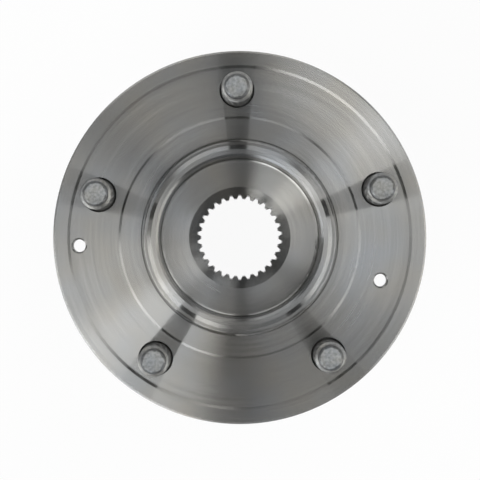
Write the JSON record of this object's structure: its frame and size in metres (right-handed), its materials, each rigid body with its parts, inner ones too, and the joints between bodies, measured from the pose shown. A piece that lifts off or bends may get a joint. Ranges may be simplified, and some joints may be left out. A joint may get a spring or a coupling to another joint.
{
  "type": "wheel hub bearing",
  "caption": "Driven wheel hub bearing unit: a studded wheel flange with a splined bore turns in a flanged outer ring on two rows of balls.",
  "frame": {"origin": "middle of the wheel face, on the axis of rotation", "axes": "+Z along the axis, outboard towards the wheel; +Y is up in the picture"},
  "size_m": [0.145, 0.145, 0.104],
  "materials": {
    "hub_steel": "fine turned",
    "stud_steel": "zinc plated",
    "ring_steel": "turned and forged",
    "race_steel": "ground",
    "ball_steel": "polished",
    "seal_steel": "pressed sheet",
    "slinger_steel": "pressed stainless sheet",
    "seal_rubber": "matte",
    "encoder_rubber": "satin",
    "cage_plastic": "moulded"
  },
  "bodies": {
    "outer": {"outer_ring": "ring_steel", "outboard_seal_case": "seal_steel", "outboard_seal_lip": "seal_rubber", "inboard_seal_case": "seal_steel", "inboard_seal_lip": "seal_rubber"},
    "hub": {"hub_flange": "hub_steel", "wheel_stud_1": "stud_steel", "wheel_stud_2": "stud_steel", "wheel_stud_3": "stud_steel", "wheel_stud_4": "stud_steel", "wheel_stud_5": "stud_steel", "inner_ring": "race_steel", "inboard_seal_slinger": "slinger_steel", "encoder_ring": "encoder_rubber"},
    "outboard_row": {"cage_outboard": "cage_plastic", "ball_outboard_01": "ball_steel", "ball_outboard_02": "ball_steel", "ball_outboard_03": "ball_steel", "ball_outboard_04": "ball_steel", "ball_outboard_05": "ball_steel", "ball_outboard_06": "ball_steel", "ball_outboard_07": "ball_steel", "ball_outboard_08": "ball_steel", "ball_outboard_09": "ball_steel", "ball_outboard_10": "ball_steel", "ball_outboard_11": "ball_steel", "ball_outboard_12": "ball_steel", "ball_outboard_13": "ball_steel"},
    "inboard_row": {"cage_inboard": "cage_plastic", "ball_inboard_01": "ball_steel", "ball_inboard_02": "ball_steel", "ball_inboard_03": "ball_steel", "ball_inboard_04": "ball_steel", "ball_inboard_05": "ball_steel", "ball_inboard_06": "ball_steel", "ball_inboard_07": "ball_steel", "ball_inboard_08": "ball_steel", "ball_inboard_09": "ball_steel", "ball_inboard_10": "ball_steel", "ball_inboard_11": "ball_steel", "ball_inboard_12": "ball_steel", "ball_inboard_13": "ball_steel"}
  },
  "joints": [
    {"name": "hub_spin", "type": "hinge", "parent": "outer", "child": "hub", "pos_m": [0, 0, -0.036], "axis": [0, 0, 1], "continuous": true},
    {"name": "outboard_row_spin", "type": "hinge", "parent": "outer", "child": "outboard_row", "pos_m": [0, 0, -0.024], "axis": [0, 0, 1], "continuous": true},
    {"name": "inboard_row_spin", "type": "hinge", "parent": "outer", "child": "inboard_row", "pos_m": [0, 0, -0.048], "axis": [0, 0, 1], "continuous": true}
  ],
  "couplings": [
    {"joint": "outboard_row_spin", "follows": "hub_spin", "ratio": 0.4264},
    {"joint": "inboard_row_spin", "follows": "hub_spin", "ratio": 0.4264}
  ]
}
